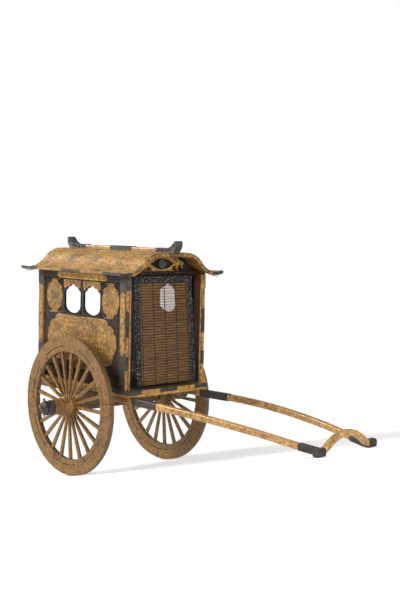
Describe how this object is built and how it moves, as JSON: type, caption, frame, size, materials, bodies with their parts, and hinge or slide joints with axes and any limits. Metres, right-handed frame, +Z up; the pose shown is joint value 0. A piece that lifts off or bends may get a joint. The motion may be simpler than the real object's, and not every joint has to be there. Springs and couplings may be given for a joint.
{
  "type": "model of a two-wheeled court ox-drawn carriage",
  "caption": "Model of a covered two-wheeled court ox carriage: turning spoked wheels, open-backed cabin with curved gable roof, swinging front blind, long shafts joined by a humped yoke.",
  "frame": {"origin": "centre of the bounding box on the floor", "axes": "+Z up, front and yoke towards -Y, axle along X; the cart is pitched nose down onto its yoke as it parks"},
  "size_m": [0.2476, 0.4982, 0.3232],
  "materials": {
    "gold_lacquer": "sprinkled gold lacquer over wood, satin",
    "wheel_lacquer": "sprinkled gold lacquer over wood, satin",
    "patinated_metal": "dark patinated silver-washed copper alloy, engraved",
    "dark_lacquer": "dark brown lacquer over wood",
    "bamboo_blind": "split bamboo slats with silk brocade edging"
  },
  "bodies": {
    "cart": {"axle": "dark_lacquer", "axle_caps": "patinated_metal", "bargeboards": "gold_lacquer", "blind_rod": "gold_lacquer", "bolster": "dark_lacquer", "cloud_panels": "gold_lacquer", "corner_posts": "gold_lacquer", "eave_clasps": "patinated_metal", "eave_corner_caps_front": "patinated_metal", "eave_corner_caps_rear": "patinated_metal", "floor": "dark_lacquer", "frieze_bands": "gold_lacquer", "frieze_end_plates": "patinated_metal", "gable_boards": "dark_lacquer", "gable_crests": "patinated_metal", "gable_struts": "gold_lacquer", "linchpins": "patinated_metal", "lintels": "dark_lacquer", "lower_rails": "dark_lacquer", "post_face_plates": "patinated_metal", "post_foot_bracket": "gold_lacquer", "post_head_fittings": "patinated_metal", "post_strips": "gold_lacquer", "ridge_band": "patinated_metal", "ridge_ornaments": "patinated_metal", "ridge_pole": "gold_lacquer", "roof_shell": "gold_lacquer", "shaft_end_sleeves": "patinated_metal", "shaft_left": "gold_lacquer", "shaft_right": "gold_lacquer", "shaft_shoulder_sleeves": "patinated_metal", "shaft_tail_caps": "patinated_metal", "side_medallions": "gold_lacquer", "side_wall_left": "dark_lacquer", "side_wall_right": "dark_lacquer", "sill_centre_fittings": "patinated_metal", "sill_corner_fittings": "patinated_metal", "sill_frame": "gold_lacquer", "skirt_panels": "dark_lacquer", "wall_plates": "dark_lacquer", "window_frames": "gold_lacquer", "window_shutter": "dark_lacquer", "window_spandrels": "gold_lacquer", "yoke": "gold_lacquer", "yoke_caps": "patinated_metal"},
    "wheel_left": {"wheel_hub_band_left": "patinated_metal", "wheel_hub_left": "wheel_lacquer", "wheel_inner_felloes_left": "wheel_lacquer", "wheel_outer_felloes_left": "wheel_lacquer", "wheel_spokes_left": "wheel_lacquer"},
    "wheel_right": {"wheel_hub_band_right": "patinated_metal", "wheel_hub_right": "wheel_lacquer", "wheel_inner_felloes_right": "wheel_lacquer", "wheel_outer_felloes_right": "wheel_lacquer", "wheel_spokes_right": "wheel_lacquer"},
    "blind": {"front_blind": "bamboo_blind"}
  },
  "joints": [
    {"name": "wheel_left_spin", "type": "hinge", "parent": "cart", "child": "wheel_left", "pos_m": [-0.07975, 0.14142, 0.09], "axis": [1, 0, 0], "continuous": true},
    {"name": "wheel_right_spin", "type": "hinge", "parent": "cart", "child": "wheel_right", "pos_m": [0.07975, 0.14142, 0.09], "axis": [1, 0, 0], "continuous": true},
    {"name": "blind_swing", "type": "hinge", "parent": "cart", "child": "blind", "pos_m": [0, 0.0168, 0.23575], "axis": [-1, 0, 0], "range_deg": [-30, 75]}
  ]
}
